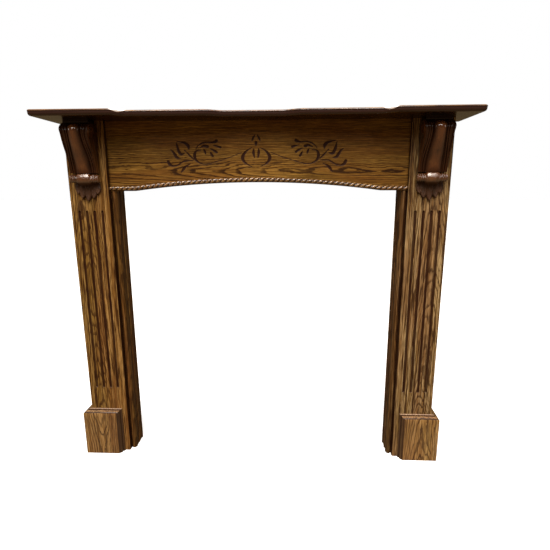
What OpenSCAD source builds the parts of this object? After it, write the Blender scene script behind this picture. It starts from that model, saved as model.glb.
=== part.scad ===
// Fireplace mantel: a box leg each side of the fire opening, an arched frieze board
// between them and a shaped shelf on top. X runs along the shelf, the front faces -Y,
// Z is up, and the origin is at the floor under the middle of the whole mantel.

/* [Overall] */
// Height from the floor to the top of the shelf
overall_h = 1253; // [1200:1:1300]
// Width of the shelf, the widest part
shelf_w = 1400; // [1380:2:1500]
// Depth of the shelf at its ends, which is the depth of the whole mantel
shelf_d = 209; // [200:1:230]

/* [Shelf] */
// Thickness of the shelf board
shelf_t = 19; // [16:1:25]
// Step back of the shelf front, just inside each end
shelf_step = 29; // [10:1:32]
// Further step back of the shelf front across the middle
shelf_hollow = 22; // [0:1:25]
// Radius of the shelf corners, seen from above
shelf_corner_r = 12; // [8:1:30]

/* [Legs] */
// Clear width of the fire opening, between the jamb mouldings
opening_w = 984; // [960:2:1000]
// Width of a fluted pilaster board
pilaster_w = 137; // [130:1:150]
// Thickness of a pilaster board
pilaster_t = 20; // [18:1:22]
// Depth of a leg, from the wall to the pilaster face
leg_d = 93; // [88:1:100]
// Thickness of the other boards
board_t = 18; // [15:1:20]

/* [Jamb mouldings] */
// Thickness of a jamb moulding at its rounded front
jamb_t = 19.5; // [16:0.5:22]
// Depth of a jamb moulding, from the wall to its front
jamb_d = 80; // [78:1:84]

/* [Flutes] */
// Flutes in each pilaster
flute_count = 4; // [2:1:4]
// Spacing of the flutes
flute_pitch = 27; // [22:1:28]
// Radius of the cutter that makes a flute
flute_r = 4.8; // [4:0.1:6]
// Height of the bottom of the flutes
flute_bottom = 266; // [220:1:400]
// Height of the top of the flutes
flute_top = 938; // [700:1:945]

/* [Plinths] */
// Height of a plinth
plinth_h = 181; // [150:1:200]
// How far a plinth stands out past the pilaster, in front and at the outer side
plinth_proud = 24; // [20:1:26]
// Step from the pilaster's inner edge to the plinth
plinth_inset = 18.5; // [10:0.5:20]

/* [Frieze] */
// Height of the fire opening where the arch starts
springing_h = 1004; // [990:1:1010]
// Rise of the arch at the middle
arch_rise = 28.5; // [20:0.5:32]
// Half the width of the arch
arch_half = 425; // [400:1:440]
// Depth from the wall to the frieze face
frieze_d = 76; // [74:1:78]
// Thickness of the rope moulding
rope_d = 14; // [10:1:16]

/* [Corbels] */
// Width of a corbel
corbel_w = 92; // [80:1:96]
// How far a corbel stands out at its top
corbel_out = 72; // [60:1:76]
// How far the neck of a corbel stands out, just above the leaf roll
corbel_neck = 24; // [20:1:30]
// Diameter of the rolled leaf at the foot of a corbel
roll_d = 38; // [32:1:40]
// Length of the rolled leaf
roll_w = 100; // [94:1:104]
// Height of the middle of the leaf roll
roll_z = 1045; // [1040:1:1060]
// Width of the hanging leaf
leaf_w = 82; // [60:1:90]
// Height of the tip of the hanging leaf
leaf_tip_z = 970; // [960:1:985]

/* [Fixings] */
// Diameter of the wood dowels
dowel_d = 8; // [6:1:8]
// Diameter of the wall screw holes in the cleat
wall_hole_d = 6; // [5:0.5:8]
// Spacing of the wall screw holes in the cleat
wall_hole_pitch = 220; // [150:5:230]
// Wall screw holes in the cleat
wall_hole_count = 5; // [3:2:5]

/* [Hidden] */
$fn = 48;
eps = 0.01;
oak = "#7a5a36";
mahogany = "#4a2418";
inner_wood = "#c8a878";
zinc = "#b8bcc0";

shelf_z = overall_h - shelf_t;
opening_half = opening_w / 2;
leg_in = opening_half + jamb_t;
leg_out = leg_in + pilaster_w;
leg_mid = (leg_in + leg_out) / 2;
box_front = leg_d - pilaster_t;

// Shelf plan: where each step back starts and how wide it is
ear_x = 441;
ear_run = 48;
hollow_x = 160;
hollow_run = 70;
curve_steps = 8;
nosing_layers = 5;
nosing_top_r = 5;
nosing_bottom_r = 8;

// Jamb moulding, seen from above
jamb_back_t = 15.5;
jamb_round = 9;
quirk_w = 2.5;
quirk_d = 8;

// How far the flute cutter's middle stays in front of the pilaster face
flute_lift = flute_r / 4;

// Open joint between the lengths of rope moulding
rope_gap = 0.2;

// Plinth edge moulding: how far it runs down the top and in from the inner edge
plinth_top_run = 11;
plinth_side_run = 16;

// Rails, blocks and spreaders inside
rail_t = 20;
rail_h = 45;
cleat_t = 20;
cleat_h = 70;
cleat_hole_drop = 35;
block = 20;
block_h = 60;
block_heights = [210, 480, 740, 1000];
spreader_h = 60;
spreader_heights = [40, 580, 1150];

// Dowels and screws
frieze_dowel_heights = [1070, 1130, 1190];
frieze_dowel_l = 24;
corbel_dowel_heights = [1110, 1180];
corbel_dowel_l = 34;
shelf_screw_pitch = 200;
shelf_screw_l = 58;
screw_d = 5;
screw_head_d = 9;
screw_head_h = 3;

// Keyhole hangers
plate_w = 32;
plate_h = 60;
plate_t = 2;
keyhole_z = 1180;
keyhole_d = 10;
keyslot_d = 5;
keyslot_rise = 14;
pocket_d = 12;
pocket_depth = 12;
plate_screw_step = 24;
plate_screw_l = 14;
plate_screw_d = 3.5;
plate_screw_head_d = 7;
plate_screw_head_h = 1.8;

// Corbel shape
abacus_h = 12;
corbel_bulge_z = 1205;
rib_w = 36;
rib_proud = 4;
ridge_w = 9;
ridge_proud = 2.5;
volute_r = 13;
volute_proud = 3;
leaf_t = 7;
leaf_lobes = 5;

// Moves a shape drawn with the wall at Y = 0 to its place in the whole mantel.
module at_wall() {
    translate([0, shelf_d / 2, 0]) children();
}

// Everything on a leg is drawn for the right leg, and mirrored for the left.
module right_leg() {
    at_wall() children();
}

module left_leg() {
    mirror([1, 0, 0]) at_wall() children();
}

// A board between two depths from the wall, front then back
module board(x0, x1, front, back, z0, z1) {
    translate([x0, -front, z0]) cube([x1 - x0, front - back, z1 - z0]);
}

// Smooth step from 0 to 1
function smooth(t) = let (c = min(1, max(0, t))) c * c * (3 - 2 * c);

function ramp(start, run, steps) = [for (i = [0:steps]) start - run * i / steps];

// ---- Shelf ----

function shelf_depth(x) = shelf_d - shelf_step * smooth((ear_x - x) / ear_run)
    - shelf_hollow * smooth((hollow_x - x) / hollow_run);

// Half of the shelf outline, from the back corner to the middle of the front
function half_outline(inset) = concat(
    [[shelf_w / 2 - inset, 0]],
    [for (a = [0:15:90])
        [shelf_w / 2 - shelf_corner_r + (shelf_corner_r - inset) * cos(a),
         -(shelf_d - shelf_corner_r) - (shelf_corner_r - inset) * sin(a)]],
    [for (x = concat(ramp(ear_x, ear_run, curve_steps), ramp(hollow_x, hollow_run, curve_steps)))
        [x, inset - shelf_depth(x)]]
);

function flip_x(points) = [for (i = [len(points) - 1:-1:0]) [-points[i][0], points[i][1]]];

// How far the nosing is rounded back at a height above the shelf's underside
function nosing_inset(z) =
    z > shelf_t - nosing_top_r
        ? nosing_top_r - sqrt(pow(nosing_top_r, 2) - pow(z - shelf_t + nosing_top_r, 2))
        : z < nosing_bottom_r
            ? nosing_bottom_r - sqrt(pow(nosing_bottom_r, 2) - pow(nosing_bottom_r - z, 2))
            : 0;

module mantel_shelf() {
    layer = shelf_t / nosing_layers;
    color(oak) at_wall() difference() {
        union() {
            for (i = [0:nosing_layers - 1]) {
                half = half_outline(nosing_inset((i + 0.5) * layer));
                translate([0, 0, shelf_z + i * layer])
                    linear_extrude(layer) polygon(concat(half, flip_x(half)));
            }
        }
        shelf_screw_set();
    }
}

// ---- Frieze and its rails ----

arch_r = (pow(arch_half, 2) + pow(arch_rise, 2)) / (2 * arch_rise);
arch_cz = springing_h + arch_rise - arch_r;
arch_angle = asin(arch_half / arch_r);
arch_steps = 24;

module frieze_outline() {
    arch = [for (i = [0:arch_steps])
        let (a = arch_angle * (2 * i / arch_steps - 1)) [arch_r * sin(a), arch_cz + arch_r * cos(a)]];
    polygon(concat(
        [[-leg_in, shelf_z], [-leg_in, springing_h]], arch, [[leg_in, springing_h], [leg_in, shelf_z]]
    ));
}

module frieze_board() {
    color(oak) at_wall() difference() {
        translate([0, board_t - frieze_d, 0]) rotate([90, 0, 0])
            linear_extrude(board_t) frieze_outline();
        frieze_dowel_pair();
    }
}

// Half-round section of the rope, flat at the back, with its middle at the origin
module rope_section() {
    intersection() {
        circle(d = rope_d);
        translate([-rope_d / 2, 0]) square([rope_d, rope_d / 2]);
    }
}

// The level lengths of rope at both ends are mitred onto the arched length.
module rope_end() {
    rope_z = springing_h + rope_d / 2 + 1;
    difference() {
        translate([arch_half - rope_d, -frieze_d, rope_z]) rotate([90, 0, 90])
            linear_extrude(leg_in - arch_half + rope_d) rotate([0, 0, 90]) rope_section();
        translate([0, 0, arch_cz]) rotate([0, arch_angle, 0])
            translate([rope_gap - 2 * rope_d, -frieze_d - rope_d, arch_r - rope_d])
                cube([2 * rope_d, 2 * rope_d, 4 * rope_d]);
    }
}

module rope_arch() {
    translate([0, -frieze_d, arch_cz]) rotate([90, 0, 0]) rotate([0, 0, 90 - arch_angle])
        rotate_extrude(angle = 2 * arch_angle, $fn = 360)
            translate([arch_r + rope_d / 2 + 1, 0]) rope_section();
}

module rope_moulding() {
    color(oak) at_wall() {
        rope_arch();
        rope_end();
        mirror([1, 0, 0]) rope_end();
    }
}

module shelf_rail() {
    back = frieze_d - board_t;
    color(inner_wood) at_wall() difference() {
        board(-leg_in, leg_in, back, back - rail_t, shelf_z - rail_h, shelf_z);
        shelf_screw_set();
    }
}

module wall_cleat() {
    first = -(wall_hole_count - 1) / 2;
    color(inner_wood) at_wall() difference() {
        board(-leg_in, leg_in, cleat_t, 0, shelf_z - cleat_h, shelf_z);
        for (i = [first:-first])
            translate([i * wall_hole_pitch, -cleat_t - eps, shelf_z - cleat_hole_drop])
                rotate([-90, 0, 0]) {
                    cylinder(d = wall_hole_d, h = cleat_t + 2 * eps);
                    cylinder(d1 = 2 * wall_hole_d, d2 = wall_hole_d, h = wall_hole_d / 2);
                }
    }
}

// ---- Screws and dowels ----

// Countersunk wood screw with its head at the origin, pointing up
module wood_screw(length, d, head_d, head_h) {
    cylinder(d1 = head_d, d2 = d, h = head_h);
    translate([0, 0, head_h - eps]) cylinder(d = d, h = length - head_h - d);
    translate([0, 0, length - d - 2 * eps]) cylinder(d1 = d, d2 = 1, h = d);
}

module shelf_screw_set() {
    for (i = [-2:2])
        translate([i * shelf_screw_pitch, board_t + rail_t / 2 - frieze_d, shelf_z - rail_h])
            wood_screw(shelf_screw_l, screw_d, screw_head_d, screw_head_h);
}

module shelf_screws() {
    color(zinc) at_wall() shelf_screw_set();
}

module frieze_dowel_set() {
    for (z = frieze_dowel_heights)
        translate([leg_in - frieze_dowel_l / 2, board_t / 2 - frieze_d, z]) rotate([0, 90, 0])
            cylinder(d = dowel_d, h = frieze_dowel_l);
}

module frieze_dowel_pair() {
    frieze_dowel_set();
    mirror([1, 0, 0]) frieze_dowel_set();
}

module frieze_dowels() {
    color(inner_wood) at_wall() frieze_dowel_pair();
}

module corbel_dowel_set() {
    for (z = corbel_dowel_heights)
        translate([leg_mid, -leg_d + corbel_dowel_l / 2, z]) rotate([90, 0, 0])
            cylinder(d = dowel_d, h = corbel_dowel_l);
}

module corbel_dowels() {
    color(inner_wood) {
        right_leg() corbel_dowel_set();
        left_leg() corbel_dowel_set();
    }
}

// ---- Legs ----

module flute(x) {
    translate([x, -leg_d - flute_lift, 0]) {
        translate([0, 0, flute_bottom + flute_r])
            cylinder(r = flute_r, h = flute_top - flute_bottom - 2 * flute_r);
        for (z = [flute_bottom + flute_r, flute_top - flute_r])
            translate([0, 0, z]) sphere(r = flute_r);
    }
}

module pilaster() {
    color(oak) difference() {
        board(leg_in, leg_out, leg_d, box_front, 0, shelf_z);
        for (i = [0:flute_count - 1])
            flute(leg_mid + (i - (flute_count - 1) / 2) * flute_pitch);
        corbel_dowel_set();
    }
}

module inner_return() {
    color(oak) difference() {
        board(leg_in, leg_in + board_t, box_front, 0, 0, shelf_z);
        frieze_dowel_set();
    }
}

module outer_return() {
    color(oak) board(leg_out - board_t, leg_out, box_front, 0, 0, shelf_z);
}

// Rounded front with a quirk beside the pilaster, and a step to a thinner back
module jamb_moulding() {
    back_x = leg_in - jamb_back_t;
    arc_x = opening_half + jamb_round;
    arc_y = -jamb_d + jamb_round;
    points = concat(
        [[leg_in, 0], [leg_in, -jamb_d + quirk_d], [leg_in - quirk_w, -jamb_d + quirk_d],
         [leg_in - quirk_w, -jamb_d]],
        [for (a = [90:-15:0]) [arc_x - jamb_round * cos(a), arc_y - jamb_round * sin(a)]],
        [[opening_half, -jamb_d * 0.62], [opening_half + 1.5, -jamb_d * 0.6],
         [opening_half + 1.5, -jamb_d * 0.56], [back_x, -jamb_d * 0.52], [back_x, 0]]
    );
    color(oak) linear_extrude(springing_h) polygon(points);
}

module glue_blocks() {
    color(inner_wood)
        for (z = block_heights) {
            board(leg_in + board_t, leg_in + board_t + block, box_front, box_front - block, z, z + block_h);
            board(leg_out - board_t - block, leg_out - board_t, box_front, box_front - block, z, z + block_h);
        }
}

// ---- Plinths ----

// Edge moulding as [stand-out, distance from the edge], ending on the flat face
function edge_mould(run) = [
    [0, 0], [plinth_proud * 0.26, 0], [plinth_proud * 0.36, run * 0.1],
    [plinth_proud * 0.6, run * 0.42], [plinth_proud * 0.62, run * 0.66],
    [plinth_proud * 0.92, run * 0.72], [plinth_proud, run]
];

// Section of a plinth board: stand-out along X, height along Y
module plinth_section() {
    polygon(concat([[0, 0]], [for (m = edge_mould(plinth_top_run)) [m[0], plinth_h - m[1]]],
        [[plinth_proud, 0]]));
}

module plinth_front() {
    inner = leg_in + plinth_inset;
    color(oak) intersection() {
        translate([inner, -leg_d, 0]) rotate([90, 0, 90]) mirror([1, 0, 0])
            linear_extrude(leg_out + plinth_proud - inner) plinth_section();
        linear_extrude(plinth_h) polygon(concat(
            [for (m = edge_mould(plinth_side_run)) [inner + m[1], -leg_d - m[0]]],
            [[leg_out + plinth_proud, -leg_d - plinth_proud], [leg_out, -leg_d]]
        ));
    }
}

module plinth_return() {
    color(oak) intersection() {
        translate([leg_out, 0, 0]) rotate([90, 0, 0])
            linear_extrude(leg_d + plinth_proud) plinth_section();
        linear_extrude(plinth_h) polygon([
            [leg_out, -leg_d], [leg_out + plinth_proud, -leg_d - plinth_proud],
            [leg_out + plinth_proud, 0], [leg_out, 0]
        ]);
    }
}

// ---- Back of the legs ----

// Round entry with a slot above it, cut in from the wall face
module keyhole(entry_d, slot_d, depth) {
    translate([leg_mid, eps, keyhole_z]) rotate([90, 0, 0]) {
        cylinder(d = entry_d, h = depth);
        translate([-slot_d / 2, 0, 0]) cube([slot_d, keyslot_rise, depth]);
        translate([0, keyslot_rise, 0]) cylinder(d = slot_d, h = depth);
    }
}

module keyhole_plate_blank() {
    translate([leg_mid - plate_w / 2, -plate_t, keyhole_z - plate_h / 2 + plate_t])
        cube([plate_w, plate_t, plate_h]);
}

module keyhole_screw_set() {
    for (side = [-1, 1])
        translate([leg_mid, 0, keyhole_z + plate_t + side * plate_screw_step]) rotate([90, 0, 0])
            wood_screw(plate_screw_l, plate_screw_d, plate_screw_head_d, plate_screw_head_h);
}

module leg_spreaders() {
    color(inner_wood) difference() {
        for (z = spreader_heights)
            board(leg_in + board_t, leg_out - board_t, board_t, 0, z, z + spreader_h);
        keyhole_plate_blank();
        keyhole_screw_set();
        keyhole(pocket_d, pocket_d, pocket_depth);
    }
}

module keyhole_plate() {
    color(zinc) difference() {
        keyhole_plate_blank();
        keyhole(keyhole_d, keyslot_d, board_t);
        keyhole_screw_set();
    }
}

module keyhole_screws() {
    color(zinc) {
        right_leg() keyhole_screw_set();
        left_leg() keyhole_screw_set();
    }
}

// ---- Corbels ----

// How far the front of the corbel stands out at a height: neck below, bulge above
function corbel_front(z) = corbel_neck + (corbel_out - corbel_neck)
    * smooth((z - roll_z - roll_d / 2) / (corbel_bulge_z - roll_z - roll_d / 2));

// S-shaped side view of the corbel, as a slab of a given width and extra stand-out
module corbel_slab(width, proud, z_top) {
    z_low = roll_z + roll_d / 2;
    steps = 12;
    side = [for (i = [0:steps])
        let (z = z_low + (z_top - z_low) * i / steps) [corbel_front(z) + proud, z]];
    translate([leg_mid - width / 2, -leg_d, 0]) rotate([90, 0, 90]) mirror([1, 0, 0])
        linear_extrude(width) polygon(concat([[0, z_low]], side, [[0, z_top]]));
}

module corbel() {
    slab_top = shelf_z - abacus_h;
    color(mahogany) difference() {
        union() {
            corbel_slab(corbel_w - 2 * volute_proud, 0, slab_top);
            corbel_slab(rib_w, rib_proud, slab_top - abacus_h);
            for (side = [-1, 1])
                translate([side * (corbel_w / 2 - volute_proud - ridge_w / 2), 0, 0])
                    corbel_slab(ridge_w, ridge_proud, slab_top - abacus_h);
            board(leg_mid - corbel_w / 2, leg_mid + corbel_w / 2, leg_d + corbel_out, leg_d,
                slab_top, shelf_z);
            translate([leg_mid - corbel_w / 2, -leg_d - corbel_out * 0.6, slab_top - volute_r - 4])
                rotate([0, 90, 0]) cylinder(r = volute_r, h = corbel_w);
        }
        corbel_dowel_set();
    }
}

// Half width of the hanging leaf at a part of its height, with a scalloped edge
function leaf_half(t) = leaf_w / 2 * pow(1 - t, 0.62) * (1 - 0.13 * abs(sin(180 * leaf_lobes / 2 * t)));

module corbel_leaf() {
    top = roll_z - roll_d / 4;
    steps = 20;
    edge = [for (i = [0:steps]) [leaf_half(i / steps), top - (top - leaf_tip_z) * i / steps]];
    color(mahogany) {
        translate([leg_mid - roll_w / 2, -leg_d - roll_d / 2, roll_z]) rotate([0, 90, 0])
            cylinder(d = roll_d, h = roll_w);
        translate([leg_mid, -leg_d, 0]) rotate([90, 0, 0])
            linear_extrude(leaf_t) polygon(concat(edge, flip_x(edge)));
    }
}

mantel_shelf();
frieze_board();
rope_moulding();
shelf_rail();
wall_cleat();
shelf_screws();
frieze_dowels();
corbel_dowels();
left_leg() pilaster();  // pilaster_left
right_leg() pilaster();  // pilaster_right
left_leg() inner_return();  // inner_return_left
right_leg() inner_return();  // inner_return_right
left_leg() outer_return();  // outer_return_left
right_leg() outer_return();  // outer_return_right
left_leg() jamb_moulding();  // jamb_moulding_left
right_leg() jamb_moulding();  // jamb_moulding_right
left_leg() plinth_front();  // plinth_front_left
right_leg() plinth_front();  // plinth_front_right
left_leg() plinth_return();  // plinth_return_left
right_leg() plinth_return();  // plinth_return_right
left_leg() corbel();  // corbel_left
right_leg() corbel();  // corbel_right
left_leg() corbel_leaf();  // corbel_leaf_left
right_leg() corbel_leaf();  // corbel_leaf_right
left_leg() glue_blocks();  // glue_blocks_left
right_leg() glue_blocks();  // glue_blocks_right
left_leg() leg_spreaders();  // leg_spreaders_left
right_leg() leg_spreaders();  // leg_spreaders_right
left_leg() keyhole_plate();  // keyhole_plate_left
right_leg() keyhole_plate();  // keyhole_plate_right
keyhole_screws();
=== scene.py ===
"""Looks of the fireplace mantel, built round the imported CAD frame.

Metres throughout, in the frame's own axes: +X to the right, +Y towards the wall, +Z up.
The shelf, frieze, rope and carved corbels are modelled here; the flat joinery keeps its
CAD solids and gets its timber here.
"""
import math

import bmesh
import bpy
import numpy as np
from mathutils import Matrix, Vector


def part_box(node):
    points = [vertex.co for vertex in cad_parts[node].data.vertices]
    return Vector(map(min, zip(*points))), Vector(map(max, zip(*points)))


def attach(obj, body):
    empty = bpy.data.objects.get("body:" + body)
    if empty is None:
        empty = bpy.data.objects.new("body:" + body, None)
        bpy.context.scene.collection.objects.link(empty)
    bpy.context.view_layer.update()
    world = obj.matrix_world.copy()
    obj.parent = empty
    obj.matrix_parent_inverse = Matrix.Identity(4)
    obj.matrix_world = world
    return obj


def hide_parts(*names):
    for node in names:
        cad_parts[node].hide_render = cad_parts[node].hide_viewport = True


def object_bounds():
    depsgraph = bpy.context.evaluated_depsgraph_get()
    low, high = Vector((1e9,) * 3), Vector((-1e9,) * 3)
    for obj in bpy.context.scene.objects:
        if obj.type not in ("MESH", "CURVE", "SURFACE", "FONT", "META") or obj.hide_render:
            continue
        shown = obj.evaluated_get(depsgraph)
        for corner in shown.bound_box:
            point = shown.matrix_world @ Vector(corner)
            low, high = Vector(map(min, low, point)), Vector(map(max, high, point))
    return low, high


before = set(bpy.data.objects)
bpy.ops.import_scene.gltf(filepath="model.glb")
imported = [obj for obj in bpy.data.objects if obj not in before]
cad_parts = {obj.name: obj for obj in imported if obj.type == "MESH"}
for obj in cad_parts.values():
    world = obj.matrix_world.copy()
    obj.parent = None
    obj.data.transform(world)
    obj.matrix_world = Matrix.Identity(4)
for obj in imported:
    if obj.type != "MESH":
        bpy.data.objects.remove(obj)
CAD_LOW, CAD_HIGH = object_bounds()

MM = 0.001
WALL_Y = CAD_HIGH.y
SHELF_LOW, SHELF_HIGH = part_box("mantel_shelf")
FRIEZE_LOW, FRIEZE_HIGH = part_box("frieze_board")
PILASTER_LOW, PILASTER_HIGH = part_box("pilaster_right")
LEG_MID = (PILASTER_LOW.x + PILASTER_HIGH.x) / 2
LEG_OUT = PILASTER_HIGH.x
LEG_FACE_Y = PILASTER_LOW.y

# Shelf outline, as in the CAD model
SHELF_STEP = 29 * MM
SHELF_HOLLOW = 22 * MM
EAR_X = 441 * MM
EAR_RUN = 48 * MM
HOLLOW_X = 160 * MM
HOLLOW_RUN = 70 * MM
SHELF_CORNER_R = 12 * MM
NOSING_TOP_R = 5 * MM
NOSING_BOTTOM_R = 8 * MM
NOSING_BOTTOM_RISE = 9.5 * MM
NOSING_STEP = 0.9 * MM

# Arch of the frieze and the rope that follows it
ARCH_HALF = 425 * MM
ARCH_RISE = 28.5 * MM
ROPE_R = 7.6 * MM
ROPE_LIFT = 1 * MM
ROPE_LEAD = 36.5 * MM
ROPE_STRANDS = 2


def sided(name, side):
    """Name of the right-hand (side 1) or left-hand (side -1) one of a pair."""
    return name + ("_right" if side > 0 else "_left")


# ------------------------ camera and stage

CAMERA_AT = Vector((0.1234, -1.4185, 1.0165))
CAMERA_YAW = -0.042
CAMERA_PITCH = -0.2101
CAMERA_ROLL = -0.003
CAMERA_LENS = 27.03


def make_camera():
    data = bpy.data.cameras.new("camera")
    data.lens = CAMERA_LENS
    data.sensor_width = 36
    data.clip_start = 0.05
    data.clip_end = 50
    camera = bpy.data.objects.new("camera", data)
    ahead = Vector((math.sin(CAMERA_YAW), math.cos(CAMERA_YAW), 0))
    right = Vector((math.cos(CAMERA_YAW), -math.sin(CAMERA_YAW), 0))
    up = Vector((0, 0, 1))
    look = ahead * math.cos(CAMERA_PITCH) + up * math.sin(CAMERA_PITCH)
    top = up * math.cos(CAMERA_PITCH) - ahead * math.sin(CAMERA_PITCH)
    side = right * math.cos(CAMERA_ROLL) + top * math.sin(CAMERA_ROLL)
    top = top * math.cos(CAMERA_ROLL) - right * math.sin(CAMERA_ROLL)
    turn = Matrix((side, top, -look)).transposed().to_4x4()
    camera.matrix_world = Matrix.Translation(CAMERA_AT) @ turn
    bpy.context.scene.collection.objects.link(camera)
    bpy.context.scene.camera = camera


def add_area_light(name, at, target, size, power, colour=(1, 1, 1)):
    data = bpy.data.lights.new(name, "AREA")
    data.shape = "RECTANGLE"
    data.size, data.size_y = size
    data.energy = power
    data.color = colour
    light = bpy.data.objects.new(name, data)
    light.location = at
    light.rotation_euler = (Vector(target) - Vector(at)).to_track_quat("-Z", "Y").to_euler()
    bpy.context.scene.collection.objects.link(light)


def add_sun(name, azimuth, elevation, strength, angle, colour=(1, 1, 1)):
    """Light from a direction: azimuth 0 is the front, positive towards +X."""
    data = bpy.data.lights.new(name, "SUN")
    data.energy = strength
    data.angle = math.radians(angle)
    data.color = colour
    light = bpy.data.objects.new(name, data)
    a, e = math.radians(azimuth), math.radians(elevation)
    source = Vector((math.sin(a) * math.cos(e), -math.cos(a) * math.cos(e), math.sin(e)))
    light.rotation_euler = source.to_track_quat("Z", "Y").to_euler()
    light.visible_glossy = abs(azimuth) < 90
    bpy.context.scene.collection.objects.link(light)


FLOOR_HALF = 30


def make_stage():
    """A white floor. It takes shadows but throws no light back, so the timber keeps its depth."""
    bm = bmesh.new()
    bmesh.ops.create_grid(bm, x_segments=8, y_segments=8, size=FLOOR_HALF)
    mesh = bpy.data.meshes.new("floor")
    bm.to_mesh(mesh)
    bm.free()
    floor = bpy.data.objects.new("floor", mesh)
    bpy.context.scene.collection.objects.link(floor)
    paint = bpy.data.materials.new("floor_paint")
    paint.use_nodes = True
    shader = paint.node_tree.nodes["Principled BSDF"]
    shader.inputs["Base Color"].default_value = (0.85, 0.85, 0.85, 1)
    shader.inputs["Roughness"].default_value = 0.9
    shader.inputs["Specular IOR Level"].default_value = 0.1
    shader.inputs["Emission Color"].default_value = (1, 1, 1, 1)
    shader.inputs["Emission Strength"].default_value = 0.35
    mesh.materials.append(paint)
    floor.visible_diffuse = False
    floor.visible_glossy = False


# Brightness of the room by height: 0 straight down, 0.5 the horizon, 1 straight up
ROOM_LIGHT = [(0.0, (0.40, 0.27, 0.14)), (0.42, (0.30, 0.20, 0.11)), (0.5, (0.07, 0.05, 0.03)),
              (0.62, (0.06, 0.05, 0.04)), (1.0, (0.30, 0.27, 0.25))]
WALL_LIGHT = (0.20, 0.14, 0.07)


def make_world():
    """White behind the object; for lighting, a dim room that is brighter overhead."""
    world = bpy.data.worlds.new("studio")
    world.use_nodes = True
    nodes, links = world.node_tree.nodes, world.node_tree.links
    nodes.clear()
    output = nodes.new("ShaderNodeOutputWorld")
    place = nodes.new("ShaderNodeTexCoord")
    split = nodes.new("ShaderNodeSeparateXYZ")
    height = nodes.new("ShaderNodeMapRange")
    height.inputs["From Min"].default_value = -1
    behind = nodes.new("ShaderNodeMapRange")
    behind.interpolation_type = "SMOOTHSTEP"
    behind.inputs["From Min"].default_value = 0.2
    behind.inputs["From Max"].default_value = 0.8
    links.new(place.outputs["Generated"], split.inputs[0])
    links.new(split.outputs[2], height.inputs[0])
    links.new(split.outputs[1], behind.inputs[0])
    room = nodes.new("ShaderNodeValToRGB")
    marks = room.color_ramp.elements
    for level in ROOM_LIGHT[2:]:
        marks.new(level[0])
    for mark, (level, colour) in zip(marks, ROOM_LIGHT):
        mark.position = level
        mark.color = (*colour, 1)
    links.new(height.outputs[0], room.inputs[0])
    wall = nodes.new("ShaderNodeMix")
    wall.data_type = "RGBA"
    colours = {socket.identifier: socket for socket in wall.inputs}
    colours["B_Color"].default_value = (*WALL_LIGHT, 1)
    links.new(behind.outputs[0], colours["Factor_Float"])
    links.new(room.outputs[0], colours["A_Color"])
    ambient = nodes.new("ShaderNodeBackground")
    links.new(next(s for s in wall.outputs if s.identifier == "Result_Color"), ambient.inputs["Color"])
    white = nodes.new("ShaderNodeBackground")
    white.inputs["Color"].default_value = (1, 1, 1, 1)
    path = nodes.new("ShaderNodeLightPath")
    mix = nodes.new("ShaderNodeMixShader")
    links.new(path.outputs["Is Camera Ray"], mix.inputs[0])
    links.new(ambient.outputs[0], mix.inputs[1])
    links.new(white.outputs[0], mix.inputs[2])
    links.new(mix.outputs[0], output.inputs["Surface"])
    bpy.context.scene.world = world


def make_lights():
    add_sun("overhead", -8, 54, 3.35, 36, (1.0, 0.96, 0.90))
    add_sun("behind", 165, 35, 0.9, 60)
    add_area_light("ceiling", (0, -0.8, 3.4), (0, -0.2, 0), (2.4, 1.8), 120, (1.0, 0.92, 0.88))
    for side in (-1, 1):
        add_area_light("ceiling_strip", (side * 1.0, -2.4, 3.0), (0, 0, 0.9), (0.5, 1.6), 24)
        add_area_light("side_window", (side * 3.4, -0.9, 1.7), (0, 0, 1.2), (0.5, 0.9), 6,
                       (1.0, 0.93, 0.86))
    bpy.context.scene.view_settings.view_transform = "Standard"


# ------------------------ shader helpers

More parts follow.
